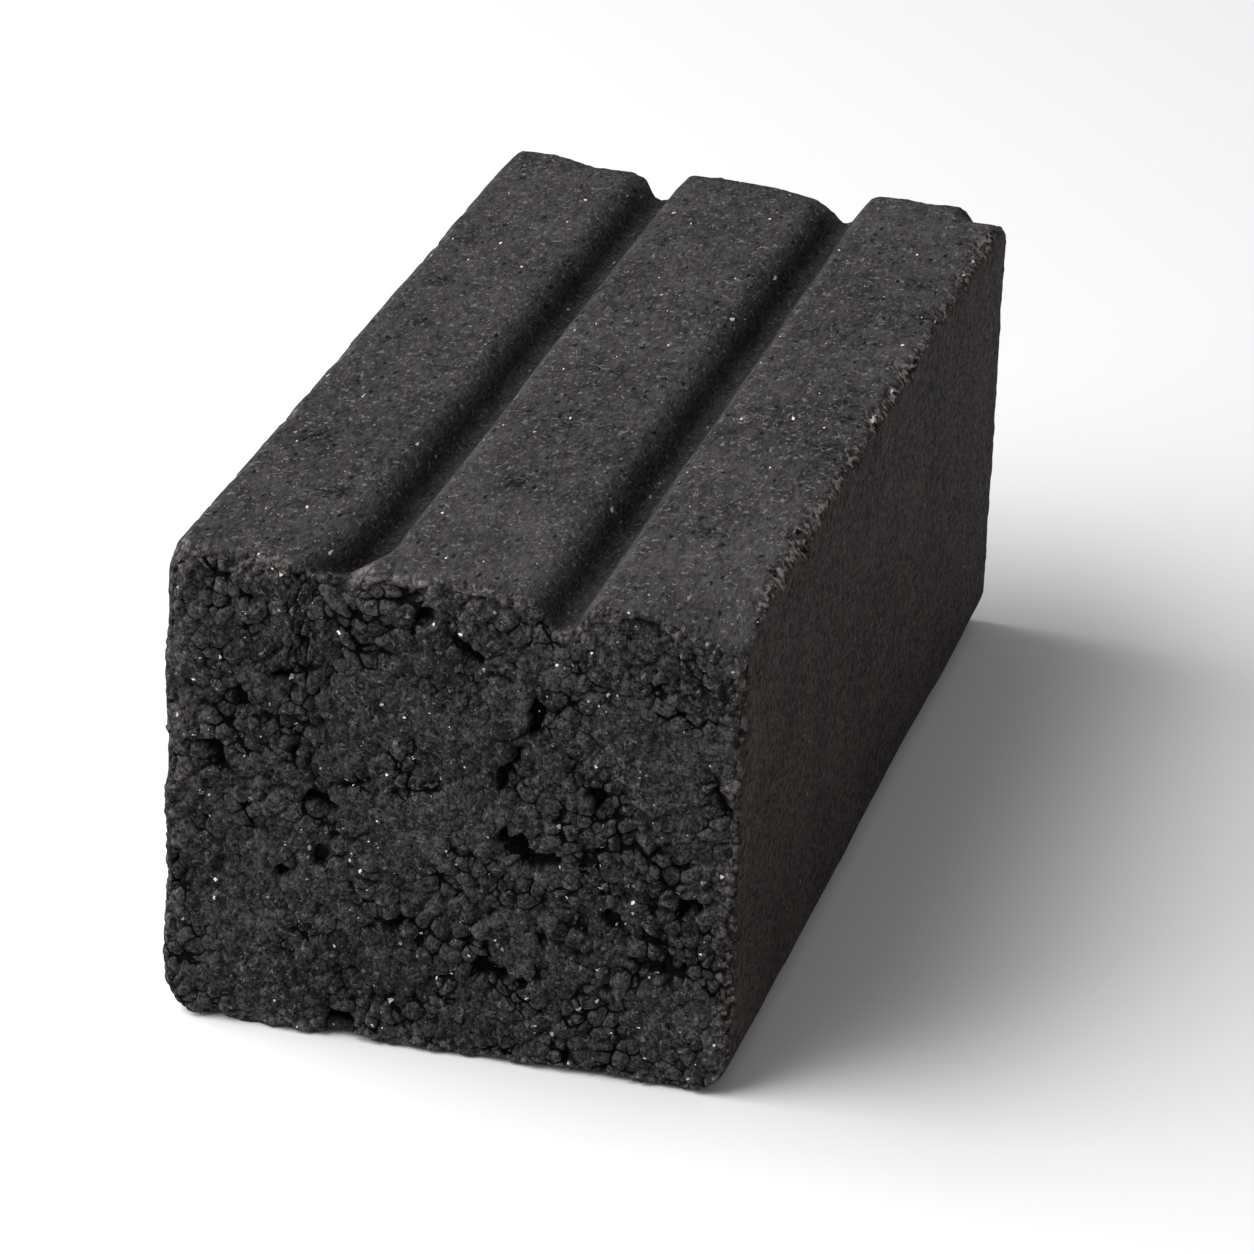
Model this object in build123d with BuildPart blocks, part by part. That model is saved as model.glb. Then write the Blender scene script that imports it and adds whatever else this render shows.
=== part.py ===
"""A pressed brick: one solid, with rounded grooves along its top, worn edges and a broken front end.

The brick lies on its bed face. X runs across it, Y along it and Z up, and the
origin is at the centre of the bed face. Sizes are in millimetres.
"""

import os

from build123d import *

# Overall size
length = 190.0
width = 90.0
height = 78.0

# Grooves pressed along the top face
groove_count = 2
groove_pitch = 33.0
groove_depth = 4.8
groove_mouth_width = 8.5
groove_root_width = 2.0
groove_lip_radius = 4.5
groove_root_radius = 1.0

# Rounding of the long edges and of the outline of the ends
top_edge_radius = 3.0
bed_edge_radius = 7.0
end_edge_radius = 1.5

# Corners broken off the top: the side and end of each, and how far its break reaches across,
# along and down, as shares of the widest break
chip_reach = 11.0
chip_corners = ((1, -1), (-1, -1), (1, 1), (-1, 1))
chip_shares = (
    (1.00, 0.75, 0.36),
    (0.45, 0.60, 0.50),
    (0.80, 0.80, 0.30),
    (0.36, 0.40, 0.32),
)

# Main hollows of the broken front end: where the middle of each lies, as shares of the half width
# and of the height, and its length as a share of the longest, then its turn in degrees. Its ends are
# pointed, and each long side has its widest place at a share of the length from the middle
hollow_length = 10.0
hollow_width = 2.2
hollow_depth = 2.2
hollow_wall_slope = 15.0
hollow_waist_shares = (-0.15, 0.2)
hollow_shares = (
    (-0.58, 0.752, 0.65),
    (-0.44, 0.504, 0.60),
    (-0.50, 0.620, 0.50),
    (-0.86, 0.597, 0.70),
    (-0.10, 0.923, 0.55),
    (0.05, 0.867, 0.80),
    (0.28, 0.750, 0.80),
    (0.21, 0.654, 0.85),
    (0.28, 0.468, 1.00),
    (0.50, 0.595, 0.35),
    (0.83, 0.395, 0.40),
    (0.20, 0.195, 0.90),
    (-0.18, 0.264, 0.65),
    (0.58, 0.344, 0.55),
)
hollow_turns = (-20, -15, 5, -15, 5, -37, 80, 62, -27, 70, 0, -18, 8, -32)

# Notch in the bed edge of the front end
notch_mouth_radius = 3.2
notch_root_radius = 1.2
notch_depth = 4.0
notch_share = -0.35

half_mouth = groove_mouth_width / 2
half_root = groove_root_width / 2

with BuildPart() as brick:
    # The section across the brick stands on the bed line, with the grooves cut into its top
    with BuildSketch(Plane.XZ) as section:
        Rectangle(width, height, align=(Align.CENTER, Align.MIN))
        with Locations((0, height)):
            with GridLocations(groove_pitch, 0, groove_count, 1):
                Polygon(
                    (-half_mouth, 0),
                    (-half_root, -groove_depth),
                    (half_root, -groove_depth),
                    (half_mouth, 0),
                    align=None,
                    mode=Mode.SUBTRACT,
                )

        # Its corners, by level: the bed edges, the groove roots, then the lips between the top edges
        fillet(section.vertices().group_by(Axis.Y)[0], bed_edge_radius)
        fillet(section.vertices().group_by(Axis.Y)[-2], groove_root_radius)
        fillet(section.vertices().group_by(Axis.Y)[-1].sort_by(Axis.X)[1:-1], groove_lip_radius)
        top_corners = section.vertices().group_by(Axis.Y)[-1].sort_by(Axis.X)
        fillet([top_corners[0], top_corners[-1]], top_edge_radius)
    extrude(amount=length / 2, both=True)

    # The outline of each end is worn round
    fillet(brick.faces().filter_by(Axis.Y).edges(), end_edge_radius)

    # Each broken corner ends at the plane through the three points that its break reaches
    for (side, end), (across_share, along_share, down_share) in zip(chip_corners, chip_shares):
        lowest = (side * width / 2, end * length / 2, height - chip_reach * down_share)
        facing = (side / across_share, end / along_share, 1 / down_share)
        split(bisect_by=Plane(origin=lowest, z_dir=facing), keep=Keep.BOTTOM)

    # The hollows have pointed ends and sloping walls, and are sunk into the front end
    for (across_share, up_share, length_share), turn in zip(hollow_shares, hollow_turns):
        span = length_share * hollow_length
        with BuildSketch(Plane.XZ.offset(length / 2)):
            with Locations((across_share * width / 2, up_share * height)):
                Polygon(
                    (-span / 2, 0),
                    (hollow_waist_shares[0] * span, -hollow_width / 2),
                    (span / 2, 0),
                    (hollow_waist_shares[1] * span, hollow_width / 2),
                    rotation=turn,
                    align=None,
                )
        extrude(amount=-hollow_depth, taper=hollow_wall_slope, mode=Mode.SUBTRACT)

    # The notch narrows towards its root
    with Locations((notch_share * width / 2, -length / 2, 0)):
        Cone(
            notch_mouth_radius,
            notch_root_radius,
            notch_depth,
            rotation=(-90, 0, 0),
            align=(Align.CENTER, Align.CENTER, Align.MIN),
            mode=Mode.SUBTRACT,
        )

brick.part.label = "brick"

os.makedirs("parts", exist_ok=True)
export_step(brick.part, "parts/brick.step")
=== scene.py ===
"""Looks of the pressed brick: broken ends, worn edges, grain and colour, and a plain studio round it."""

import math

import bpy
import numpy as np
from mathutils import Matrix, Vector


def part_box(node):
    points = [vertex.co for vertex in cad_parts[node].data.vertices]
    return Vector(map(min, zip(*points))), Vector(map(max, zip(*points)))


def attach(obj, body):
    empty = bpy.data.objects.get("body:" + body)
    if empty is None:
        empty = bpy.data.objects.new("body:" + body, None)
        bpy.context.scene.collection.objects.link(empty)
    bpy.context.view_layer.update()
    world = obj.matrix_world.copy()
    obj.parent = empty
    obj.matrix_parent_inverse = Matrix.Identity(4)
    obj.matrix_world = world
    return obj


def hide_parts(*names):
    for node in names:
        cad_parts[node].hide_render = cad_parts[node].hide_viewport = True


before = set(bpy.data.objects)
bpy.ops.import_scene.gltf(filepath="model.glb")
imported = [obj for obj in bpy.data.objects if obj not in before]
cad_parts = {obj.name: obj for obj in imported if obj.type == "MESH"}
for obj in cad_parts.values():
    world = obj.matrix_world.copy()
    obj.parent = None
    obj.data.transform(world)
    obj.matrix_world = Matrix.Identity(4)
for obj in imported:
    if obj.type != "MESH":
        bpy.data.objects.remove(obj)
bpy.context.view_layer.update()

# Sizes are in millimetres until a mesh is made, which is in metres as the frame is
METRE = 1000.0
BOX_LOW, BOX_HIGH = (np.array(corner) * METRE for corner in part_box("brick"))
WIDTH, LENGTH, HEIGHT = BOX_HIGH - BOX_LOW

# Section of the brick. It is the solid's, but for the right lip of each groove and the right top edge,
# which are crisper than the solid's plain roundings
GROOVE_PITCH = 33.0
GROOVE_DEPTH = 4.8
GROOVE_MOUTH = 8.5
GROOVE_ROOT = 2.0
LEFT_LIP_RADIUS = 4.5
RIGHT_LIP_RADIUS = 2.5
GROOVE_ROOT_RADIUS = 1.0
LEFT_EDGE_RADIUS = 3.0
RIGHT_EDGE_RADIUS = 1.8
BED_EDGE_RADIUS = 7.0
END_EDGE_RADIUS = 1.5

# Spacing of the surface grid: close on and near the front end, wider along the pressed sides, and twice
# as wide on the back end. The rings by each rim grow apart, and those between are closer towards the front
ACROSS_STEPS = 232
UP_STEPS = 200
BACK_SHARE = 2
EDGE_STEPS = 4
RIM_STEPS = 7
RIM_LENGTH = 5.5
RIM_GROWTH = 1.3
SIDE_STEPS = 136
SIDE_EVEN_SHARE = 0.65
ARC_SAMPLES = 33

# Where the outline bends, and needs more of its points along the sides: how far below the top, how far
# from the middle of a groove as a share of its mouth, and how far from a side
BENT_BELOW_TOP = 8.0
BENT_GROOVE_SHARE = 0.8
BENT_FROM_SIDE = 5.0

# How far below the top, or in from a side, a point still counts as on the top, pitted or on a flank
TOP_BAND = 1.0
PIT_BAND = 2.0
FLANK_BAND = 4.0

# Grains of the broken ends. The finish paints shade into the seams between the same pebbles
PEBBLE_SIZE = 2.4
PEBBLE_SHIFT = 64.0
CLUMP_SIZE = 8.0
VALLEY_WIDTH = 1.0
HOLLOW_FOLLOWS_PEBBLES_SHARE = 0.75
LOST_CLUMPS_SHARE = 0.35

# How far the look of the broken ends runs back along the sides, and the band of the rim that loses clumps
END_REACH = 2.2
RIM_BAND = (0.5, 5.0)

# Dents in the pressed sides: spacing, radius and the share of places that have one
DENT_SPACING = 9.0
DENT_RADIUS = 2.2
DENTS_SHARE = 0.3

# Choked mouth of the left groove: how far back it rises and bends, how far aside it bends, the share of its
# depth that is filled, the half width of the bend, and the depths below the top between which it fades in
CHOKE_RISE_LENGTH = 12.0
CHOKE_BEND_LENGTH = 14.0
CHOKE_BEND = 4.0
CHOKE_FILLED_SHARE = 0.75
CHOKE_HALF_WIDTH = 11.0
CHOKE_FADE = (30.0, 7.0)

# Sagging right front corner: its depth, where across it starts, the distances from the front end between
# which it fades out, and the depths below the top between which it fades in
SAG_DEPTH = 4.0
SAG_START = 26.0
SAG_ALONG = (2.0, 17.0)
SAG_FADE = (20.0, 5.0)

# Worn back end: the distances from the end, and the depths below the top, between which its drops grow
BACK_ALONG = (10.0, 1.0)
BACK_FADE = (14.0, 6.0)

# Hollows in the front end: across, up, half length, half width, turn in degrees, depth
FRONT_HOLLOWS = (
    (-26.0, 58.7, 3.3, 0.8, -20, 2.2),
    (-19.8, 39.3, 3.0, 1.1, -15, 2.4),
    (-22.5, 48.4, 2.5, 0.8, 5, 1.8),
    (-38.7, 46.6, 3.5, 0.7, -15, 1.8),
    (-35.5, 44.6, 1.8, 0.6, -45, 1.6),
    (-4.5, 72.0, 2.8, 1.3, 5, 1.8),
    (2.3, 67.6, 4.2, 0.7, -37, 1.8),
    (12.7, 58.5, 4.2, 0.9, 80, 2.2),
    (9.6, 51.0, 4.4, 1.1, 62, 2.2),
    (8.6, 38.4, 1.6, 1.2, 0, 2.8),
    (13.0, 36.3, 4.6, 1.0, -27, 2.0),
    (22.6, 46.4, 1.7, 0.9, 70, 2.0),
    (37.5, 30.8, 2.0, 1.0, 0, 2.0),
    (9.0, 15.2, 4.5, 0.7, -18, 1.8),
    (-12.3, 19.7, 1.8, 0.9, -25, 1.8),
    (-6.3, 20.8, 2.8, 0.7, 8, 1.6),
    (26.0, 26.8, 2.8, 0.8, -32, 1.6),
    (42.0, 48.5, 2.6, 0.7, -40, 1.6),
    (-32.0, 71.3, 2.8, 0.7, 12, 1.6),
    (-32.3, 55.0, 1.8, 0.7, -60, 1.4),
    (-24.8, 27.2, 2.6, 0.6, 20, 1.5),
    (-20.5, 31.0, 1.4, 0.8, 40, 1.4),
    (-16.0, 1.5, 3.2, 2.4, 60, 3.5),
)

# Smooth plates of the front end: across, up, radius, and how far the crack round each is open
FRONT_PLATES = (
    (7.3, 59.2, 4.9, 1.0),
    (-17.0, 48.0, 4.8, 0.7),
    (4.5, 72.0, 4.6, 0.6),
    (-7.0, 66.5, 4.0, 0.7),
    (10.5, 21.0, 4.8, 0.6),
    (-8.5, 13.0, 6.0, 0.7),
    (22.5, 41.5, 3.6, 0.8),
    (-26.0, 28.8, 2.6, 1.0),
    (30.0, 58.0, 9.0, 0.0),
    (-31.0, 14.0, 11.0, 0.0),
    (-6.0, 37.0, 7.5, 0.0),
    (-2.0, 55.0, 6.0, 0.0),
    (33.0, 12.0, 6.0, 0.3),
)

# Crumbly places of the front end: across, up and radius
FRONT_CRUMBLES = (
    (4.0, 28.0, 8.0),
    (1.0, 19.0, 7.0),
    (9.0, 8.0, 8.0),
    (24.0, 6.0, 9.0),
    (-6.0, 48.0, 6.0),
    (19.0, 47.0, 9.0),
    (21.0, 36.0, 7.0),
    (34.0, 36.0, 8.0),
    (-30.0, 51.0, 9.0),
    (-37.0, 66.0, 6.0),
    (-21.0, 62.0, 7.0),
    (35.0, 68.0, 7.0),
    (15.0, 57.0, 4.0),
    (-10.0, 5.0, 7.0),
    (36.0, 21.0, 7.0),
    (-30.0, 37.0, 5.0),
    (-10.0, 71.0, 6.0),
)

# Pitted places of the top: across, along and radius
TOP_PITS = (
    (39.0, -4.0, 3.0),
    (39.5, -10.0, 3.0),
    (39.0, -23.0, 4.0),
    (38.0, 53.0, 4.0),
    (41.0, 38.0, 4.0),
    (-36.0, 7.0, 3.5),
    (-38.0, -1.0, 3.5),
    (-30.0, -7.0, 3.5),
    (-26.0, -11.0, 3.0),
    (-38.0, 27.0, 4.0),
    (-1.0, -27.0, 3.0),
    (-30.0, 61.0, 2.5),
    (-36.0, -45.0, 4.0),
    (-27.0, -66.0, 5.0),
    (-2.0, -52.0, 4.0),
    (30.0, -62.0, 4.0),
)

# Corners broken off the top: side, end, and how far the break reaches across, along and down
BROKEN_CORNERS = (
    (1, -1, 11.0, 8.25, 4.0),
    (-1, -1, 6.5, 8.0, 7.0),
    (1, 1, 8.8, 8.8, 3.3),
    (1, 1, 3.5, 5.0, 12.0),
    (-1, 1, 4.0, 4.4, 3.5),
)

# Nicks in the right top edge: place along the brick, half length and depth
EDGE_NICKS = (
    (-86.0, 3.5, 0.9),
    (-73.0, 3.0, 0.8),
    (-58.0, 4.5, 1.3),
    (-49.0, 2.5, 0.7),
    (-36.0, 3.0, 0.6),
    (-24.0, 4.0, 0.9),
    (-9.0, 3.5, 1.1),
    (4.0, 2.5, 0.6),
    (17.0, 3.0, 0.8),
    (43.0, 3.0, 0.8),
    (58.0, 2.5, 0.6),
    (76.0, 4.0, 0.9),
)

# Worn back end: places across the brick, and how far the top has sunk there
BACK_DROPS = (
    (-45.0, 0.6),
    (-42.0, 0.0),
    (-34.0, 0.0),
    (-31.0, 1.2),
    (-22.0, 1.3),
    (-12.0, 0.5),
    (-3.0, 0.5),
    (4.0, 1.0),
    (12.0, 2.4),
    (19.0, 0.2),
    (36.5, 0.2),
    (38.5, 3.0),
    (45.0, 3.2),
)

# Colours of the finish
CLAY_DARK = (0.01, 0.0093, 0.0097, 1)
CLAY_PALE = (0.066, 0.0611, 0.0625, 1)
FLANK_DARK = (0.0095, 0.0075, 0.0068, 1)
FLANK_PALE = (0.056, 0.0452, 0.0408, 1)
THREAD_GREY = (0.19, 0.181, 0.174, 1)
THREAD_BROWN = (0.1, 0.085, 0.076, 1)
RUB_PALE = (0.3, 0.272, 0.255, 1)
# Black of the painted shade in seams, cracks, hollows, clefts, pores, pits, nicks and groove floors
SHADE_BLACK = (0.001, 0.001, 0.001, 1)
# White of the bright flecks, painted as glints: painted highlights
GLINT_WHITE = (0.85, 0.8, 0.72, 1)

# Details of the finish: how far its seams wander from the mesh's, in pebbles, how much the grain is
# drawn out along the brick, and the depths below the top between which the flanks' clefts fade in
SEAM_WANDER = 0.2
GRAIN_DRAW = (1.0, 0.45, 1.0)
CLEFT_FADE = (26.0, 5.0)

# Studio and camera, in metres, watts and degrees, and the lens in millimetres
FLOOR_REACH = 6.0
FLOOR_GREY = (0.75, 0.75, 0.75, 1)
SURROUND_STRENGTH = 0.32
KEY_PLACE = (-1.0, -0.45, 1.0)
KEY_AIM = (0, 0, 0.04)
KEY_SIZE = 1.8
KEY_POWER = 55.0
CAMERA_PLACE = (0.223, -0.8895, 0.4378)
CAMERA_AIM = (0.004, -0.004, 0.034)
CAMERA_ROLL = 2.3
CAMERA_LENS = 176.0
SENSOR_WIDTH = 36.0


def smooth_step(low, high, value):
    """0 below low, 1 above high, and between them the curve 3t^2 - 2t^3."""
    share = np.clip((value - low) / (high - low), 0, 1)
    return share * share * (3 - 2 * share)


def rolled(word, places):
    """32-bit words with their bits rolled to the left."""
    return (word << np.uint32(places)) | (word >> np.uint32(32 - places))


def cell_random(cell, count):
    """Up to three random numbers from 0 to 1 for each cell of a lattice. They are the numbers that the
    Voronoi texture node draws for the cell: its three coordinates as 32-bit words, stirred together by
    subtracting, rolling and crossing them in turn."""
    words = [np.ascontiguousarray(cell[:, axis], dtype=np.float32).view(np.uint32) for axis in range(3)]
    numbers = []
    for number in range(count):
        fed = 3 if number == 0 else 4
        a, b, c = (word + np.uint32(0xDEADBEEF + 4 * fed + 13) for word in words)
        if number:
            stir = [a, c, b]
            for places in (4, 6, 8, 16, 19, 4):
                stir[0] = (stir[0] - stir[1]) ^ rolled(stir[1], places)
                stir[1] = stir[1] + stir[2]
                stir = [stir[2], stir[0], stir[1]]
            a, c, b = stir
            a = a + np.float32([number]).view(np.uint32)
        stir = [b, c, a]
        for places in (14, 11, 25, 16, 4, 14, 24):
            stir[1] = (stir[1] ^ stir[0]) - rolled(stir[0], places)
            stir = [stir[1], stir[2], stir[0]]
        numbers.append(stir[0] / float(0xFFFFFFFF))
    return np.stack(numbers, axis=1)


def swells(points, size, shift):
    """Smooth noise from -1 to 1 with swells about size across: random values at the corners of a
    lattice, blended along each axis by the curve 6t^5 - 15t^4 + 10t^3."""
    place = points / size + shift
    cell = np.floor(place)
    share = place - cell
    share = share**3 * (share * (share * 6 - 15) + 10)
    total = np.zeros(len(points))
    for corner in np.ndindex(2, 2, 2):
        weight = np.where(corner, share, 1 - share).prod(axis=1)
        total += weight * cell_random(cell + corner, 1)[:, 0]
    return total * 2 - 1


def layered_swells(points, size, shift, layers=3):
    """Swells of halving size and strength added up, about -1 to 1."""
    total = sum(swells(points, size / 2**layer, shift + 7 * layer) / 2**layer for layer in range(layers))
    return total / (2 - 2.0 ** (1 - layers))


def grains(points, size, shift):
    """Packed grains about size across. Each cell of a lattice holds one grain centre, placed at random
    in it. For each point this gives the distance to its grain's centre, the distance to the flat seam
    half-way to the nearest other centre, a random number that the whole grain shares, and the way to
    its centre."""
    place = points / size + shift
    cell = np.floor(place)
    nearest = np.full(len(points), 9.0)
    towards = np.zeros((len(points), 3))
    mark = np.zeros(len(points))
    offsets = []
    for step in np.ndindex(3, 3, 3):
        home = cell + step - 1
        random = cell_random(home, 3)
        offset = home + random - place
        distance = np.linalg.norm(offset, axis=1)
        closer = distance < nearest
        towards = np.where(closer[:, None], offset, towards)
        mark = np.where(closer, random[:, 2], mark)
        nearest = np.minimum(nearest, distance)
        offsets.append(offset)
    seam = np.full(len(points), 9.0)
    for offset in offsets:
        apart = offset - towards
        gap = np.linalg.norm(apart, axis=1)
        other = gap > 0.01
        reach = ((offset + towards) / 2 * apart).sum(axis=1) / np.where(other, gap, 1)
        seam = np.where(other, np.minimum(seam, reach), seam)
    return nearest * size, seam * size, mark, towards * size


def section_corners():
    """Corners of the section, anticlockwise from the bed's left corner, each with its rounding."""
    half = WIDTH / 2
    corners = [
        (-half, 0, BED_EDGE_RADIUS),
        (half, 0, BED_EDGE_RADIUS),
        (half, HEIGHT, RIGHT_EDGE_RADIUS),
    ]
    floor = HEIGHT - GROOVE_DEPTH
    for centre in (GROOVE_PITCH / 2, -GROOVE_PITCH / 2):
        corners += [
            (centre + GROOVE_MOUTH / 2, HEIGHT, RIGHT_LIP_RADIUS),
            (centre + GROOVE_ROOT / 2, floor, GROOVE_ROOT_RADIUS),
            (centre - GROOVE_ROOT / 2, floor, GROOVE_ROOT_RADIUS),
            (centre - GROOVE_MOUTH / 2, HEIGHT, LEFT_LIP_RADIUS),
        ]
    return np.array(corners + [(-half, HEIGHT, LEFT_EDGE_RADIUS)])


def rounded_corners(corners):
    """The arc that rounds each corner of a closed outline. It touches both straight runs, so its centre
    lies on the line that halves the corner, at radius over the sine of half the corner's angle."""
    place, radius = corners[:, :2], corners[:, 2:]
    back = np.roll(place, 1, axis=0) - place
    ahead = np.roll(place, -1, axis=0) - place
    back /= np.linalg.norm(back, axis=1, keepdims=True)
    ahead /= np.linalg.norm(ahead, axis=1, keepdims=True)
    half_angle = np.arccos((back * ahead).sum(axis=1, keepdims=True)) / 2
    middle = back + ahead
    centre = place + middle / np.linalg.norm(middle, axis=1, keepdims=True) * radius / np.sin(half_angle)
    first = place + back * radius / np.tan(half_angle) - centre
    last = place + ahead * radius / np.tan(half_angle) - centre
    turn = (math.pi - 2 * half_angle)[:, None]
    share = np.linspace(0, 1, ARC_SAMPLES)[None, :, None]
    swept = np.sin((1 - share) * turn) * first[:, None] + np.sin(share * turn) * last[:, None]
    return centre[:, None] + swept / np.sin(turn)


def evenly(path, count):
    """Points that divide a path into count equal lengths, without its last point."""
    run = np.concatenate([[0], np.cumsum(np.linalg.norm(np.diff(path, axis=0), axis=1))])
    at = np.linspace(0, run[-1], count + 1)[:-1]
    return np.stack([np.interp(at, run, path[:, axis]) for axis in (0, 1)], axis=1)


def section_outline():
    """The rounded section as one closed loop of points, with its outward normals. The loop starts half-
    way round the bed's left corner and has ACROSS_STEPS points on the bed and the top and UP_STEPS on
    each side."""
    arcs = rounded_corners(section_corners())
    loop = np.concatenate([arcs.reshape(-1, 2), arcs[0]])
    half = ARC_SAMPLES // 2
    breaks = [corner * ARC_SAMPLES + half for corner in (0, 1, 2, len(arcs) - 1, len(arcs))]
    counts = (ACROSS_STEPS, UP_STEPS, ACROSS_STEPS, UP_STEPS)
    runs = [evenly(loop[a : b + 1], count) for a, b, count in zip(breaks, breaks[1:], counts)]
    outline = np.concatenate(runs)
    along = np.roll(outline, -1, axis=0) - np.roll(outline, 1, axis=0)
    outward = np.stack([along[:, 1], -along[:, 0]], axis=1)
    return outline, outward / np.linalg.norm(outward, axis=1, keepdims=True)


def rings(outline, outward, y, inset, lean):
    """The outline carried along the brick: one ring at each y, drawn in by inset along its normals,
    with the normals leaning by an angle from the side's own normal (zero) towards the end's (a quarter
    turn)."""
    end = np.sign(y)[:, None]
    flat = outline[None] - outward[None] * inset[:, None, None]
    far = np.broadcast_to(y[:, None], flat.shape[:2])
    points = np.stack([flat[..., 0], far, flat[..., 1]], axis=-1)
    side = np.cos(lean)[:, None]
    tilt = np.broadcast_to(end * np.sin(lean)[:, None], flat.shape[:2])
    normals = np.stack([outward[None, :, 0] * side, tilt, outward[None, :, 1] * side], axis=-1)
    return points, normals


def end_grid(loop, across, up):
    """A grid that fills one end: points between the four runs of its closed loop, which have across
    steps on the bed and the top and up steps on each side. They are blended from the bed to the top and
    from side to side, less the same blend of the four corners."""
    bed = loop[: across + 1]
    right = loop[across : across + up + 1]
    top = loop[across + up : 2 * across + up + 1][::-1]
    left = np.concatenate([loop[2 * across + up :], loop[:1]])[::-1]
    u = np.linspace(0, 1, across + 1)[:, None, None]
    v = np.linspace(0, 1, up + 1)[None, :, None]
    level = (1 - v) * bed[:, None] + v * top[:, None]
    upright = (1 - u) * left[None] + u * right[None]
    corners = (1 - u) * ((1 - v) * bed[0] + v * top[0]) + u * ((1 - v) * bed[-1] + v * top[-1])
    return (level + upright - corners)[1:-1, 1:-1].reshape(-1, 2)


def end_numbers(ring, inner, across, up):
    """Vertex numbers of an end's grid: the ring round its edge and the inner vertices."""
    grid = np.empty((across + 1, up + 1), dtype=np.int64)
    grid[1:-1, 1:-1] = inner.reshape(across - 1, up - 1)
    grid[:, 0] = ring[: across + 1]
    grid[-1, :] = ring[across : across + up + 1]
    grid[::-1, -1] = ring[across + up : 2 * across + up + 1]
    grid[0, ::-1] = np.append(ring[2 * across + up :], ring[0])
    return grid


def side_columns(outline):
    """Which points of the outline are carried along the sides: every second one in the grooves and
    round the top edges, every fourth one on the lands between them, every eighth one on the flanks and
    the bed."""
    x, z = outline.T
    number = np.arange(len(outline))
    from_groove = np.abs(np.abs(x) - GROOVE_PITCH / 2)
    by_groove = from_groove < GROOVE_MOUTH * BENT_GROOVE_SHARE
    bent = (z > HEIGHT - BENT_BELOW_TOP) & (by_groove | (np.abs(x) > WIDTH / 2 - BENT_FROM_SIDE))
    on_top = z > HEIGHT - TOP_BAND
    step = np.where(bent, 2, np.where(on_top, 4, 8))
    return np.flatnonzero(number % step == 0)


def ring_quads(numbers):
    """Quads between neighbouring closed rings."""
    ahead = np.roll(numbers, -1, axis=1)
    return np.stack([numbers[:-1], numbers[1:], ahead[1:], ahead[:-1]], axis=-1).reshape(-1, 4)


def grid_quads(numbers):
    """Quads between neighbouring rows of a grid."""
    return np.stack(
        [numbers[:-1, :-1], numbers[1:, :-1], numbers[1:, 1:], numbers[:-1, 1:]], axis=-1
    ).reshape(-1, 4)


def stitches(close, wide, columns):
    """Triangles between a closed ring and one that has only some of its columns. Each close step meets
    the nearer end of the wide step it lies beside, and each wide step meets the close point where that
    end changes."""
    count = len(close)
    starts, ends = columns, np.append(columns[1:], count)
    change = np.ceil((starts + ends) / 2 - 0.5).astype(np.int64)
    step = np.arange(count)
    beside = np.searchsorted(columns, step, side="right") - 1
    nearer = np.where(step < change[beside], beside, (beside + 1) % len(columns))
    return np.concatenate([
        np.stack([close, wide[nearer], np.roll(close, -1)], axis=1),
        np.stack([close[change % count], wide, np.roll(wide, -1)], axis=1),
    ])


def brick_surface():
    """The smooth brick as points, outward normals, quads and triangles of vertex numbers. Close rings
    lie near both ends and wider ones between them, with a grid over each end."""
    outline, outward = section_outline()
    columns = side_columns(outline)
    quarter = np.linspace(math.pi / 2, 0, EDGE_STEPS + 1)
    rim = RIM_LENGTH * np.linspace(0, 1, RIM_STEPS + 1)[1:] ** RIM_GROWTH
    lean = np.concatenate([quarter, np.zeros(RIM_STEPS)])
    inset = END_EDGE_RADIUS * (1 - np.cos(lean))
    depth = np.concatenate([END_EDGE_RADIUS * (1 - np.sin(quarter)), END_EDGE_RADIUS + rim])
    reach = LENGTH / 2 - depth[-1]
    share = np.linspace(0, 1, SIDE_STEPS + 1)[1:-1]
    drawn_share = SIDE_EVEN_SHARE * share + (1 - SIDE_EVEN_SHARE) * share**2
    middle_y = reach * (2 * drawn_share - 1)
    level = np.zeros(len(middle_y))
    coarse, coarse_outward = outline[::BACK_SHARE], outward[::BACK_SHARE]
    parts = [
        rings(outline, outward, depth - LENGTH / 2, inset, lean),
        rings(outline[columns], outward[columns], middle_y, level, level),
        rings(coarse, coarse_outward, (LENGTH / 2 - depth)[::-1], inset[::-1], lean[::-1]),
    ]
    close_counts = (ACROSS_STEPS, UP_STEPS)
    wide_counts = (ACROSS_STEPS // BACK_SHARE, UP_STEPS // BACK_SHARE)
    ends = (
        (-1.0, outline - outward * END_EDGE_RADIUS, close_counts),
        (1.0, coarse - coarse_outward * END_EDGE_RADIUS, wide_counts),
    )
    for end, loop, counts in ends:
        flat = end_grid(loop, *counts)
        far = np.full(len(flat), end * LENGTH / 2)
        facing = np.broadcast_to([0.0, end, 0.0], (len(flat), 3))
        parts.append((np.stack([flat[:, 0], far, flat[:, 1]], axis=1), facing))
    sizes = [part[0].size // 3 for part in parts]
    starts = np.cumsum([0] + sizes)
    front, middle, back, front_inner, back_inner = (
        np.arange(start, start + size).reshape(part[0].shape[:-1])
        for start, size, part in zip(starts, sizes, parts)
    )
    quads = np.concatenate([
        ring_quads(front),
        ring_quads(middle),
        ring_quads(back),
        grid_quads(end_numbers(front[0], front_inner, *close_counts)),
        grid_quads(end_numbers(back[-1], back_inner, *wide_counts))[:, ::-1],
    ])
    triangles = np.concatenate([
        stitches(front[-1], middle[0], columns),
        stitches(back[0], middle[-1], columns // BACK_SHARE)[:, ::-1],
    ])
    points = np.concatenate([part[0].reshape(-1, 3) for part in parts])
    normals = np.concatenate([part[1].reshape(-1, 3) for part in parts])
    return points, normals, quads, triangles


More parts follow.
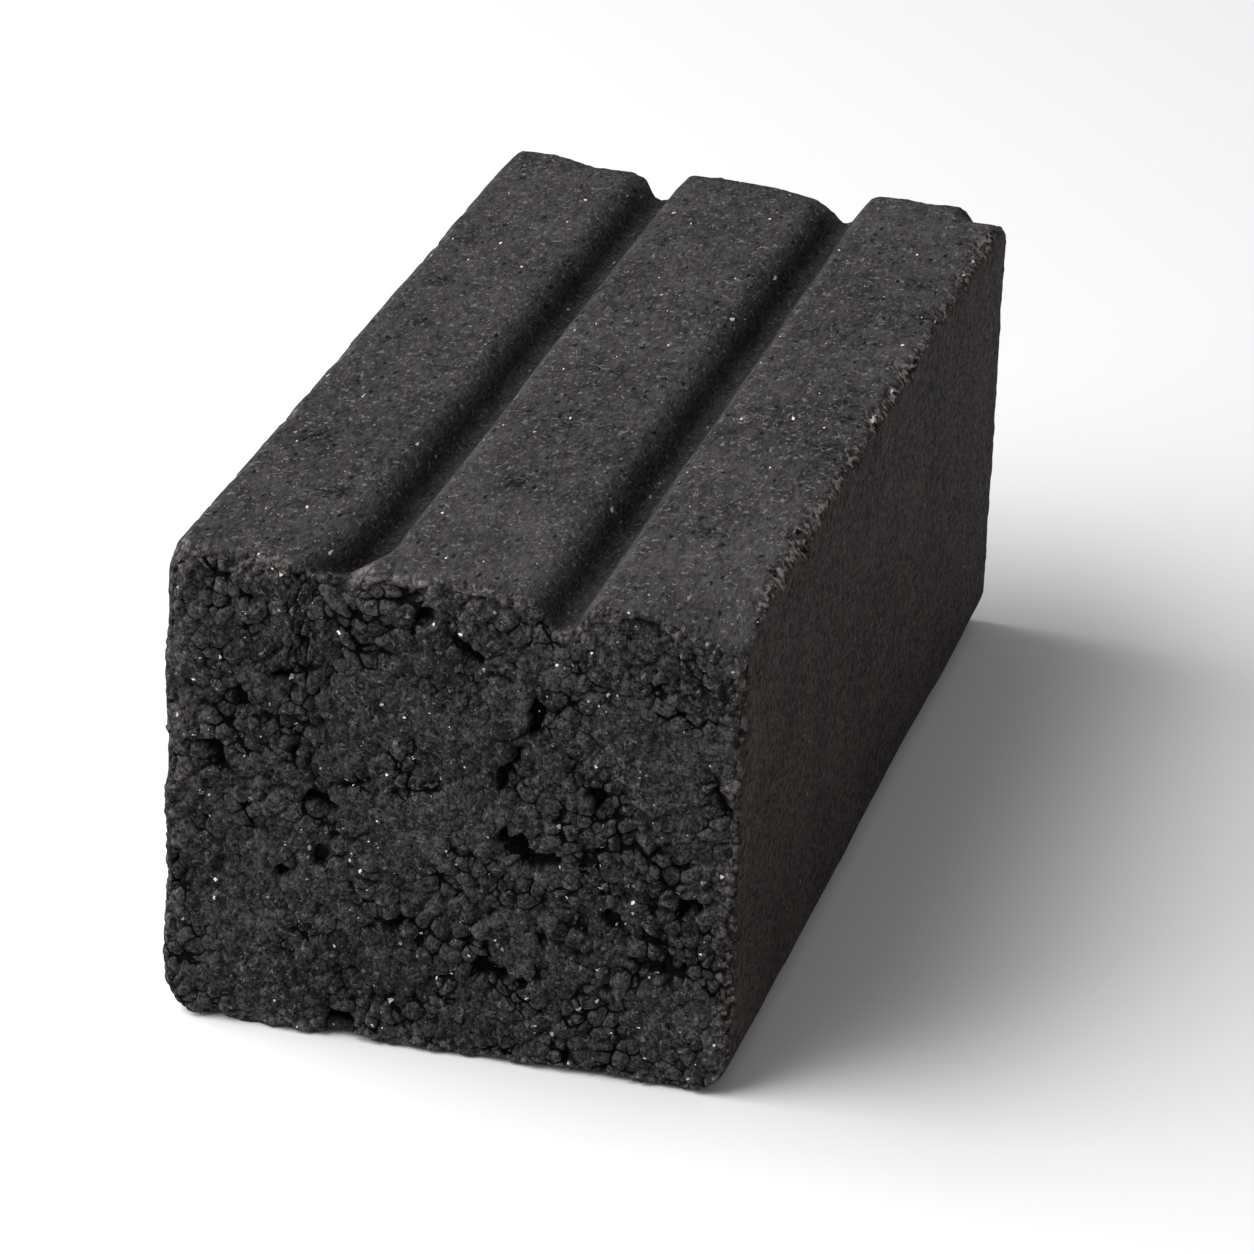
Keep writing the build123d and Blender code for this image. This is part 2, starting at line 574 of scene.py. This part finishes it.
def split_quads(points, quads):
    """Two triangles for each quad, cut along its shorter diagonal."""
    a, b, c, d = quads.T
    long_way = np.linalg.norm(points[a] - points[c], axis=1) > np.linalg.norm(points[b] - points[d], axis=1)
    first = np.where(long_way[:, None], np.stack([a, b, d], axis=1), np.stack([a, b, c], axis=1))
    second = np.where(long_way[:, None], np.stack([b, c, d], axis=1), np.stack([a, c, d], axis=1))
    return np.concatenate([first, second])


def top_level(x):
    """Height of the top face across the brick, grooves included."""
    outline, _ = section_outline()
    top = outline[ACROSS_STEPS + UP_STEPS : 2 * ACROSS_STEPS + UP_STEPS][::-1]
    return np.interp(x, top[:, 0], top[:, 1])


def front_hollows(points):
    """Depth of the hollows in the front end. Each is an ellipse with a wavering rim: as deep as its
    list says inside 0.6 of the ellipse, and rising to nothing at its rim by the smooth step."""
    x, y, z = points.T
    waver = 0.3 * swells(points, 1.7, 201) + 0.25 * swells(points, 3.6, 211)
    depth = np.zeros(len(points))
    for across, up, long_half, short_half, turn, deep in FRONT_HOLLOWS:
        angle = math.radians(turn)
        along = ((x - across) * math.cos(angle) + (z - up) * math.sin(angle)) / long_half
        aside = ((z - up) * math.cos(angle) - (x - across) * math.sin(angle)) / short_half
        depth = np.maximum(depth, deep * (1 - smooth_step(0.6, 1.3, np.hypot(along, aside) + waver)))
    return depth * (y < 0)


def front_plates(points):
    """How far each point of the front end lies inside a smooth plate, and how near it is to the crack
    round one. A plate is a circle with a wavering rim. Its inside fades out by the smooth step over its
    outer half, and its crack is half a millimetre to either side of the rim."""
    x, y, z = points.T
    waver = 0.1 * swells(points, 2.6, 301) + 0.12 * swells(points, 5.5, 311)
    inside = np.zeros(len(points))
    crack = np.zeros(len(points))
    for across, up, radius, opened in FRONT_PLATES:
        away = np.hypot(x - across, z - up) / radius + waver
        inside = np.maximum(inside, 1 - smooth_step(0.5, 1.05, away))
        crack = np.maximum(crack, opened * (1 - smooth_step(0.0, 0.5, np.abs(away - 1) * radius)))
    return inside * (y < 0), crack * (y < 0)


def crumble(points):
    """How crumbly the ends are, from 0 to 1. The front end's listed places are circles with wavering
    rims, which fade out by the smooth step. The back end is alike all over."""
    x, y, z = points.T
    waver = 0.25 * swells(points, 4.5, 371)
    inside = np.zeros(len(points))
    for across, up, radius in FRONT_CRUMBLES:
        away = np.hypot(x - across, z - up) / radius + waver
        inside = np.maximum(inside, 1 - smooth_step(0.55, 1.15, away))
    return np.where(y < 0, inside, 0.4)


def pitted(points):
    """How pitted the top is, from 0 to 1: each listed place is a circle that fades out by the smooth
    step."""
    x, y, z = points.T
    inside = np.zeros(len(points))
    for across, along, radius in TOP_PITS:
        inside = np.maximum(inside, 1 - smooth_step(0.3, 1.0, np.hypot(x - across, y - along) / radius))
    return inside * (z > HEIGHT - PIT_BAND)


def cut(points, corner, facing, depth):
    """Breaks off what lies within depth of a corner, measured along the direction that the broken face
    looks: points beyond that plane move straight back on to it."""
    facing = np.array(facing) / np.linalg.norm(facing)
    beyond = ((points - corner) * facing).sum(axis=1) + depth
    return points - facing * beyond.clip(0)[:, None]


def edge_nicks(along):
    """Depth of the listed nicks along the right top edge: each is deepest in its middle and fades out
    by the smooth step."""
    depth = np.zeros(len(along))
    for middle, half, deep in EDGE_NICKS:
        depth = np.maximum(depth, deep * (1 - smooth_step(0.2, 1.0, np.abs(along - middle) / half)))
    return depth


def broken_edges(points, bites):
    """Breaks the corners and wears the edges: a plane cut off each broken corner, through the three
    points that the break reaches, and a ragged bevel along the long top edges and round each end, with
    depths that wander by the swells and by the bites of lost pebbles."""
    rough = 0.3 * swells(points, 2.8, 221) + 0.2 * swells(points, 1.3, 231)
    half_width, half_length = WIDTH / 2, LENGTH / 2
    for side, end, *reach in BROKEN_CORNERS:
        facing = np.array([side, end, 1]) / reach
        depth = 1 / np.linalg.norm(facing) + rough + bites
        points = cut(points, (side * half_width, end * half_length, HEIGHT), facing, depth)
    across, along, up = (points * axis for axis in np.eye(3))
    for side, mean, ragged in ((-1, 1.3, 0.6), (1, 1.25, 1.0)):
        nicks = 0.8 * swells(along, 4.2, 251 + side).clip(0) + 0.4 * rough
        depth = mean + 0.4 * swells(along, 14.0, 241 + side) + ragged * nicks
        if side > 0:
            depth = depth + edge_nicks(points[:, 1] + 1.5 * rough)
        points = cut(points, along + (side * half_width, 0.0, HEIGHT), (side, 0.0, 1.0), depth)
    level = across.copy()
    level[:, 2] = top_level(points[:, 0])
    for end, ragged in ((-1, 1.0), (1, 0.4)):
        far = (0.0, end * half_length, 0.0)
        grit = rough + bites
        nicks = swells(across, 8.0, 261 + end) + 0.6 * swells(across, 3.1, 271 + end) + grit
        points = cut(points, level + far, (0.0, end * 0.6, 0.8), 1.3 + ragged * nicks)
        nicks = swells(across, 9.0, 281 + end) + 0.5 * swells(across, 3.3, 291 + end) + grit
        points = cut(points, across + far, (0.0, end * 0.6, -0.8), 0.9 + ragged * nicks)
        for side, mean in ((-1, 1.1), (1, 1.5)):
            shift = end + 3 * side
            nicks = 0.8 * swells(up, 9.0, 331 + shift) + 0.6 * swells(up, 3.3, 341 + shift) + grit
            edge = up + far + (side * half_width, 0.0, 0.0)
            points = cut(points, edge, (side, end, 0.0), mean + ragged * nicks)
    return points


def choked_groove(points):
    """Chokes the mouth of the left groove at the front end. Towards the end the groove bends to the
    left and its surface rises towards the top level, both by the smooth step."""
    x, y, z = points.T
    from_front = y + LENGTH / 2
    aside = np.abs(x + GROOVE_PITCH / 2)
    near_top = smooth_step(HEIGHT - CHOKE_FADE[0], HEIGHT - CHOKE_FADE[1], z)
    gap = (HEIGHT - top_level(x)) * (aside < GROOVE_MOUTH)
    rise = gap * (1 - smooth_step(0.0, CHOKE_RISE_LENGTH, from_front)) * CHOKE_FILLED_SHARE * near_top
    bend = CHOKE_BEND * (1 - smooth_step(0.0, CHOKE_BEND_LENGTH, from_front)) * near_top
    bend = bend * (1 - smooth_step(0.0, CHOKE_HALF_WIDTH, aside))
    return points + np.stack([-bend, 0 * rise, rise], axis=1)


def sunk_corner(points):
    """Lets the top sag at its right front corner: the whole depth at the corner, and less by the smooth
    step across the right land and along it. The front end below it is drawn down with it."""
    x, y, z = points.T
    across = smooth_step(SAG_START, WIDTH / 2, x)
    along = 1 - smooth_step(*SAG_ALONG, y + LENGTH / 2)
    near_top = smooth_step(HEIGHT - SAG_FADE[0], HEIGHT - SAG_FADE[1], z)
    return points - (SAG_DEPTH * across * along * near_top)[:, None] * (0.0, 0.0, 1.0)


def worn_back(points):
    """Sinks the top of the back end by the drops listed across it, from nothing some way before the end
    to the whole drop close to it, by the smooth step."""
    x, y, z = points.T
    places, drops = np.array(BACK_DROPS).T
    share = smooth_step(LENGTH / 2 - BACK_ALONG[0], LENGTH / 2 - BACK_ALONG[1], y)
    share = share * smooth_step(HEIGHT - BACK_FADE[0], HEIGHT - BACK_FADE[1], z)
    return points - (np.interp(x, places, drops) * share)[:, None] * (0.0, 0.0, 1.0)


def end_relief(points, near_rim):
    """Depth of the broken ends, with what the finish needs to know of their grain. Pebbles lie in
    clumps, stand apart where the face is crumbly and merge into plates elsewhere. The depth adds up
    slow swells, a step for each clump and each pebble, rounded valleys between the pebbles, cracks
    between the clumps and round the plates, fine swells, the listed hollows, whose outlines follow the
    pebbles, and the clumps lost at the rim."""
    drift = np.stack([swells(points, 2.4, 11 + 10 * axis) for axis in range(3)], axis=1)
    sway = np.stack([swells(points, 7.0, 15 + 10 * axis) for axis in range(3)], axis=1)
    drifted = points + 0.55 * drift + 1.3 * sway
    _, clump_seam, clump_mark, _ = grains(drifted, CLUMP_SIZE, 41)
    pebble, pebble_seam, pebble_mark, to_pebble = grains(drifted, PEBBLE_SIZE, PEBBLE_SHIFT)
    plate, plate_crack = front_plates(points)
    merged = 0.5 * layered_swells(points, 11.0, 51) + 0.55 * crumble(points) - 0.25 * plate
    crumbly = smooth_step(-0.4, 0.45, merged + 0.45 * (clump_mark - 0.5))
    opened = smooth_step(0.0, 0.35, layered_swells(points, 10.0, 61))
    slope = (1 - pebble_seam / VALLEY_WIDTH).clip(0, 1)
    dome = 1 - np.sqrt(1 - slope**2)
    parted = (dome + 0.5 * smooth_step(0.5, 0.8, pebble / PEBBLE_SIZE)) * (0.35 + 0.65 * crumbly)
    crack = (1 - smooth_step(0.0, 0.5, clump_seam)) * opened * (1 - plate)
    crack = np.maximum(crack, plate_crack * smooth_step(-0.4, 0.3, swells(points, 4.0, 321)))
    hollow = front_hollows(points + HOLLOW_FOLLOWS_PEBBLES_SHARE * to_pebble)
    lost = (clump_mark < LOST_CLUMPS_SHARE) * near_rim * smooth_step(0.1, 0.9, clump_seam)
    relief = (
        0.3
        + 0.3 * swells(points, 24.0, 71)
        + 0.4 * (clump_mark - 0.5)
        + 0.8 * (pebble_mark - 0.5) * (0.25 + 0.75 * crumbly)
        + 0.9 * parted
        + 0.6 * crack
        + 0.3 * layered_swells(points, 3.4, 81)
    )
    depth = relief.clip(0.05) + hollow + lost
    return depth, crack, hollow, crumbly, pebble, pebble_mark, drifted


def side_relief(points):
    """Depth of the pressed sides, which are almost flat: slow swells and shallow round dents here and
    there."""
    dent, _, dent_mark, _ = grains(points * (1.0, 0.6, 1.0), DENT_SPACING, 91)
    dents = (1 - smooth_step(0.3, 1.0, dent / DENT_RADIUS)) * (dent_mark < DENTS_SHARE)
    depth = 0.25 + 0.3 * layered_swells(points, 22.0, 101) + 0.3 * dents
    return depth.clip(0.02)


def wear(points, normals):
    """Moves the smooth surface in to its broken, worn form, and gives what the finish needs to know of
    it. Each point goes in along its normal, by the ends' depth as far as the normal faces an end and by
    the sides' depth as far as it doesn't, with some of the ends' depth close to the rim. Then the
    damage near the ends and the broken edges are cut."""
    x, y, z = points.T
    from_end = LENGTH / 2 - np.abs(y)
    inside = np.minimum.reduce([WIDTH / 2 - np.abs(x), z, top_level(x) - z]).clip(0)
    on_end = np.exp(-((from_end / END_REACH) ** 2))
    near_rim = 1 - smooth_step(*RIM_BAND, np.maximum(from_end, inside))
    end_depth, crack, hollow, crumbly, pebble, pebble_mark, drifted = end_relief(points, near_rim)

    is_end = np.abs(normals[:, 1])
    rim_share = on_end * np.where(y < 0, 0.6, 0.25)
    rim_depth = rim_share * end_depth + (1 - rim_share) * side_relief(points)
    depth = is_end * end_depth + (1 - is_end) * rim_depth
    moved = points - normals * depth[:, None]
    moved = sunk_corner(worn_back(choked_groove(moved)))
    chipped = broken_edges(moved, on_end * (pebble_mark - 0.5))
    chip_depth = np.linalg.norm(chipped - moved, axis=1)

    # Seams are widest where several pebbles meet and where the face is crumbly, and close up here and there
    loose = smooth_step(-0.4, 0.5, layered_swells(points, 3.6, 351)) * (0.3 + 0.7 * crumbly)
    seam_width = loose * (0.065 + 0.33 * (pebble / PEBBLE_SIZE - 0.45).clip(0))

    # Floors of the grooves, which the finish darkens by half as painted shade, and the rubbed stretches of
    # the right top edge
    sunk = smooth_step(0.2, 0.75, (HEIGHT - top_level(x)) / GROOVE_DEPTH)
    sunk = sunk * (z > HEIGHT - GROOVE_DEPTH - TOP_BAND)
    rubbed = smooth_step(-0.5, 0.4, layered_swells(points, 9.0, 381))
    rubbed = rubbed * (1 - smooth_step(0.9, 1.9, np.hypot(WIDTH / 2 - x, HEIGHT - z)))
    chipped_share = smooth_step(0.03, 0.4, chip_depth) * (1 - 0.45 * on_end) * np.where(x < 0, 0.5, 1.0)
    marks = {
        # Cracks and hollows of the ends, which the finish paints black as painted shade
        "crevice_shade": np.clip(on_end * (0.8 * crack + smooth_step(0.2, 1.2, hollow)), 0, 1),
        "broken": on_end,
        "seam_width": seam_width,
        "sunk": sunk * (1 - on_end),
        "pitted": pitted(points),
        # Tone: slow random mottling, darker on the ends, and darker for the pebbles that are set deeper
        "shade": 0.5 + 0.25 * layered_swells(points, 13.0, 361) + on_end * (0.08 - 0.5 * pebble_mark),
        "worn": np.maximum.reduce([0.35 * near_rim * on_end, chipped_share, rubbed]),
        "flank": smooth_step(0.6, 0.95, np.abs(normals[:, 0])) * (np.abs(x) > WIDTH / 2 - FLANK_BAND),
        "pebble_place": drifted,
    }
    return chipped, marks


def make_brick():
    """The brick's closed mesh, in metres, with the marks that its finish reads stored at each
    vertex."""
    points, normals, quads, triangles = brick_surface()
    points, marks = wear(points, normals)
    points = points.clip(BOX_LOW, BOX_HIGH)
    faces = np.concatenate([split_quads(points, quads), triangles])
    mesh = bpy.data.meshes.new("brick_surface")
    mesh.vertices.add(len(points))
    mesh.vertices.foreach_set("co", (points / METRE).ravel())
    mesh.loops.add(faces.size)
    mesh.loops.foreach_set("vertex_index", faces.ravel())
    mesh.polygons.add(len(faces))
    mesh.polygons.foreach_set("loop_start", np.arange(0, faces.size, 3))
    mesh.polygons.foreach_set("use_smooth", np.ones(len(faces), dtype=bool))
    for name, values in marks.items():
        if values.ndim == 2:
            mesh.attributes.new(name, "FLOAT_VECTOR", "POINT").data.foreach_set("vector", values.ravel())
        else:
            mesh.attributes.new(name, "FLOAT", "POINT").data.foreach_set("value", values)
    mesh.update(calc_edges=True)
    mesh.validate()
    piece = bpy.data.objects.new("brick_worn", mesh)
    bpy.context.scene.collection.objects.link(piece)
    return piece


class Finish:
    """Builds a material's nodes: each method adds one node and gives the socket that leaves it."""

    def __init__(self, name):
        self.material = bpy.data.materials.new(name)
        self.material.use_nodes = True
        self.tree = self.material.node_tree
        self.shader = self.tree.nodes["Principled BSDF"]

    def fill(self, socket, value):
        """Links a socket to another one, or sets it to a plain value."""
        if isinstance(value, bpy.types.NodeSocket):
            self.tree.links.new(value, socket)
        else:
            socket.default_value = value

    def node(self, kind, inputs, output, **settings):
        made = self.tree.nodes.new(kind)
        for name, value in settings.items():
            setattr(made, name, value)
        for key, value in inputs.items():
            self.fill(made.inputs[key], value)
        return made.outputs[output]

    def number(self, operation, first, second=0.0):
        return self.node("ShaderNodeMath", {0: first, 1: second}, 0, operation=operation)

    def ramp(self, value, low, high, start=0.0, end=1.0):
        """Start below low, end above high, a smooth step between."""
        inputs = {"Value": value, "From Min": low, "From Max": high, "To Min": start, "To Max": end}
        return self.node("ShaderNodeMapRange", inputs, "Result", interpolation_type="SMOOTHSTEP")

    def blend(self, share, first, second):
        return self.node("ShaderNodeMix", {0: share, 6: first, 7: second}, 2, data_type="RGBA")

    def vector(self, operation, first, second, third=(0, 0, 0)):
        return self.node("ShaderNodeVectorMath", {0: first, 1: second, 2: third}, 0, operation=operation)

    def noise(self, place, scale, detail=2.0, roughness=0.5, output=0):
        inputs = {"Vector": place, "Scale": scale, "Detail": detail, "Roughness": roughness}
        return self.node("ShaderNodeTexNoise", inputs, output)

    def cells(self, place, scale, feature="F1"):
        """Distance and colour of packed cells, or the distance to their seams."""
        inputs = {"Vector": place, "Scale": scale, "Randomness": 1.0}
        distance = self.node("ShaderNodeTexVoronoi", inputs, "Distance", feature=feature)
        return distance, distance.node.outputs.get("Color")

    def part(self, colour, channel):
        return self.node("ShaderNodeSeparateColor", {0: colour}, channel)

    def mark(self, name, output="Fac"):
        return self.node("ShaderNodeAttribute", {}, output, attribute_name=name)


def brick_finish():
    """Near-black clay: painted shade in the seams between the pebbles of the ends and in their cracks and
    hollows, brown flanks with upright drag marks and painted shade in clefts, short pale threads, painted
    shade in open pores and pits, on the groove floors and in the nicks of the worn edges, pale rubs on the
    worn edges, and bright flecks painted as glints. Each is a noise or a cell pattern, cut to a share by a
    ramp, and blended over the clay's own grain."""
    f = Finish("dark_pressed_clay")
    place = f.node("ShaderNodeTexCoord", {}, "Object")
    place = f.vector("MULTIPLY", place, (METRE, METRE, METRE))
    broken = f.mark("broken")
    worn = f.mark("worn")
    flank = f.mark("flank")

    # Painted shade in the seams between the pebbles of the ends, and in finer ones here and there
    wander = f.noise(place, 0.9, 1.0, output="Color")
    pebble_scale = (1 / PEBBLE_SIZE,) * 3
    pebble_shift = (PEBBLE_SHIFT - SEAM_WANDER / 2,) * 3
    pebbles = f.vector("MULTIPLY_ADD", f.mark("pebble_place", "Vector"), pebble_scale, pebble_shift)
    pebbles = f.vector("MULTIPLY_ADD", wander, (SEAM_WANDER,) * 3, pebbles)
    edge, _ = f.cells(pebbles, 1.0, "DISTANCE_TO_EDGE")
    seam = f.ramp(f.number("SUBTRACT", edge, f.mark("seam_width")), -0.06, 0.02, 1.0, 0.0)
    fine_edge, _ = f.cells(pebbles, 2.1, "DISTANCE_TO_EDGE")
    here_and_there = f.ramp(f.part(wander, 2), 0.44, 0.55)
    fine = f.number("MULTIPLY", f.ramp(fine_edge, 0.0, 0.1, 0.8, 0.0), here_and_there)
    seam = f.number("MAXIMUM", seam, fine)
    # Painted shade: black over the seams of the ends, and over their cracks and hollows
    painted_shade = f.number("MAXIMUM", f.number("MULTIPLY", seam, broken), f.mark("crevice_shade"))
    # Groove floors darkened by half: painted shade
    painted_shade = f.number("MAXIMUM", painted_shade, f.number("MULTIPLY", f.mark("sunk"), 0.5))

    # Grain of the clay, drawn out along the brick
    drawn = f.vector("MULTIPLY", place, GRAIN_DRAW)
    grit = f.noise(drawn, 1.6, 3.0, 0.58)
    blotch = f.noise(drawn, 0.55, 2.0, 0.6)
    coarse = f.ramp(broken, 0.0, 1.0, 0.36, 0.6)
    grain = f.number("MULTIPLY", f.number("SUBTRACT", grit, 0.5), coarse)
    grain = f.number("ADD", grain, f.number("MULTIPLY", blotch, 0.25))
    tone = f.number("ADD", grain, f.number("MULTIPLY", f.mark("shade"), 0.2))
    clay = f.blend(f.ramp(tone, 0.06, 0.4), CLAY_DARK, CLAY_PALE)

    # Flanks: brown, with upright drag marks, and painted shade in clefts near the top
    drag = f.noise(f.vector("MULTIPLY", place, (1.0, 1.0, 0.4)), 1.2, 2.0, 0.65)
    streak = f.number("ADD", f.number("MULTIPLY", drag, 0.4), f.number("MULTIPLY", grit, 0.4))
    streak = f.number("ADD", streak, f.number("MULTIPLY", f.mark("shade"), 0.2))
    brown = f.blend(f.ramp(streak, 0.37, 0.65), FLANK_DARK, FLANK_PALE)
    clay = f.blend(f.number("MULTIPLY", flank, 0.85), clay, brown)
    level = f.node("ShaderNodeSeparateXYZ", {0: place}, 2)
    high = f.ramp(level, HEIGHT - CLEFT_FADE[0], HEIGHT - CLEFT_FADE[1])
    cleft = f.ramp(f.noise(f.vector("MULTIPLY", place, (1.0, 1.0, 0.22)), 0.75, 2.0), 0.63, 0.67)
    cleft = f.number("MULTIPLY", cleft, f.number("MULTIPLY", flank, high))
    painted_shade = f.number("MAXIMUM", painted_shade, f.number("MULTIPLY", cleft, 0.8))

    # Short pale threads
    line = f.number("ABSOLUTE", f.number("SUBTRACT", f.noise(drawn, 0.95, 1.0), 0.5))
    thread = f.number("MULTIPLY", f.ramp(line, 0.0, 0.055, 1.0, 0.0), f.ramp(f.part(wander, 1), 0.55, 0.62))
    thread = f.number("MULTIPLY", thread, f.ramp(f.number("MAXIMUM", broken, flank), 0.0, 1.0, 0.65, 0.5))
    clay = f.blend(thread, clay, f.blend(flank, THREAD_GREY, THREAD_BROWN))

    # Painted shade in pores and pits and in the nicks of worn edges, pale rubs, and flecks painted as
    # glints, with ragged outlines
    spot, chance = f.cells(drawn, 0.75)
    spot = f.number("ADD", spot, f.number("MULTIPLY", f.number("SUBTRACT", grit, 0.5), 0.6))
    wide = f.ramp(f.mark("pitted"), 0.0, 1.0, 0.34, 0.55)
    open_pore = f.number("GREATER_THAN", f.part(chance, 1), f.ramp(f.mark("pitted"), 0.0, 1.0, 0.8, 0.4))
    pore = f.number("MULTIPLY", f.ramp(spot, 0.16, wide, 1.0, 0.0), open_pore)
    pit = f.number("MULTIPLY", f.mark("pitted"), f.ramp(f.part(wander, 0), 0.5, 0.56))
    pore = f.number("MAXIMUM", pore, pit)
    painted_shade = f.number("MAXIMUM", painted_shade, f.number("MULTIPLY", pore, 0.8))
    nick = f.number("MULTIPLY", worn, f.ramp(f.part(wander, 2), 0.6, 0.66))
    painted_shade = f.number("MAXIMUM", painted_shade, f.number("MULTIPLY", nick, 0.9))
    rub = f.number("MULTIPLY", worn, f.ramp(f.part(wander, 0), 0.46, 0.62))
    clay = f.blend(f.number("MULTIPLY", rub, 0.55), clay, RUB_PALE)
    # All the painted shade is blended to black here
    clay = f.blend(painted_shade, clay, SHADE_BLACK)
    # Bright flecks painted as glints, a painted highlight, more of them on worn edges and broken ends
    rarity = f.ramp(f.number("MAXIMUM", worn, f.number("MULTIPLY", broken, 0.38)), 0.0, 1.0, 0.82, 0.4)
    painted_glint = f.number("GREATER_THAN", f.part(chance, 0), rarity)
    size = f.ramp(f.part(chance, 2), 0.1, 1.0, 0.03, 0.19)
    speck = f.number("ADD", spot, f.number("MULTIPLY", f.number("SUBTRACT", grit, 0.5), 0.6))
    painted_glint = f.number("MULTIPLY", painted_glint, f.ramp(f.number("SUBTRACT", speck, size), -0.05, 0.03, 1.0, 0.0))
    glint = f.number("FRACT", f.number("MULTIPLY", f.part(chance, 0), 37.0))
    painted_glint = f.number("MULTIPLY", painted_glint, f.ramp(glint, 0.3, 1.0, 0.1, 0.85))
    # Painted shade on the glints: dimmed on the flanks and groove floors
    glint_shade = f.number("MAXIMUM", flank, f.mark("sunk"))
    painted_glint = f.number("MULTIPLY", painted_glint, f.ramp(glint_shade, 0.0, 1.0, 1.0, 0.35))
    clay = f.blend(painted_glint, clay, GLINT_WHITE)
    f.fill(f.shader.inputs["Base Color"], clay)

    # Relief too fine for the surface grid, in millimetres
    height = f.number("MULTIPLY", grit, coarse)
    height = f.number("ADD", height, f.number("MULTIPLY", f.number("MULTIPLY", drag, flank), 0.5))
    bump = f.node("ShaderNodeBump", {"Height": height, "Strength": 1.0, "Distance": 1 / METRE}, "Normal")
    f.fill(f.shader.inputs["Normal"], bump)
    f.fill(f.shader.inputs["Roughness"], f.ramp(grit, 0.3, 0.7, 0.9, 0.65))
    f.fill(f.shader.inputs["Specular IOR Level"], 0.06)
    return f.material


def add_area(name, place, aim, size, power):
    """A square soft light that faces its aim point."""
    lamp = bpy.data.lights.new(name, "AREA")
    lamp.shape = "SQUARE"
    lamp.size = size
    lamp.energy = power
    holder = bpy.data.objects.new(name, lamp)
    bpy.context.scene.collection.objects.link(holder)
    holder.location = place
    holder.rotation_euler = (Vector(aim) - Vector(place)).to_track_quat("-Z", "Y").to_euler()


def make_studio():
    """A pale floor, soft light from above and the left, and an even pale surround."""
    mesh = bpy.data.meshes.new("floor")
    corners = [(FLOOR_REACH * x, FLOOR_REACH * y, 0) for x, y in ((-1, -1), (1, -1), (1, 1), (-1, 1))]
    mesh.from_pydata(corners, [], [(0, 1, 2, 3)])
    floor = bpy.data.objects.new("floor", mesh)
    bpy.context.scene.collection.objects.link(floor)
    paint = Finish("pale_floor")
    paint.fill(paint.shader.inputs["Base Color"], FLOOR_GREY)
    paint.fill(paint.shader.inputs["Roughness"], 0.9)
    mesh.materials.append(paint.material)
    world = bpy.data.worlds.new("surround")
    bpy.context.scene.world = world
    world.use_nodes = True
    world.node_tree.nodes["Background"].inputs["Color"].default_value = (1, 1, 1, 1)
    world.node_tree.nodes["Background"].inputs["Strength"].default_value = SURROUND_STRENGTH
    add_area("key_light", KEY_PLACE, KEY_AIM, KEY_SIZE, KEY_POWER)


def make_camera():
    """The photograph's viewpoint, turned to the brick, with a lens that lets the brick fill the
    frame."""
    place = Vector(CAMERA_PLACE)
    aim = Vector(CAMERA_AIM)
    roll = math.radians(CAMERA_ROLL)
    camera = bpy.data.cameras.new("camera")
    camera.sensor_width = SENSOR_WIDTH
    camera.lens = CAMERA_LENS
    camera.clip_start = 0.01
    holder = bpy.data.objects.new("camera", camera)
    bpy.context.scene.collection.objects.link(holder)
    facing = (aim - place).to_track_quat("-Z", "Y").to_matrix() @ Matrix.Rotation(roll, 3, "Z")
    holder.matrix_world = Matrix.Translation(place) @ facing.to_4x4()
    bpy.context.scene.camera = holder


bpy.context.scene.view_settings.view_transform = "Standard"
make_studio()
make_camera()
brick = make_brick()
brick.data.materials.append(brick_finish())
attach(brick, "root")
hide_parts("brick")
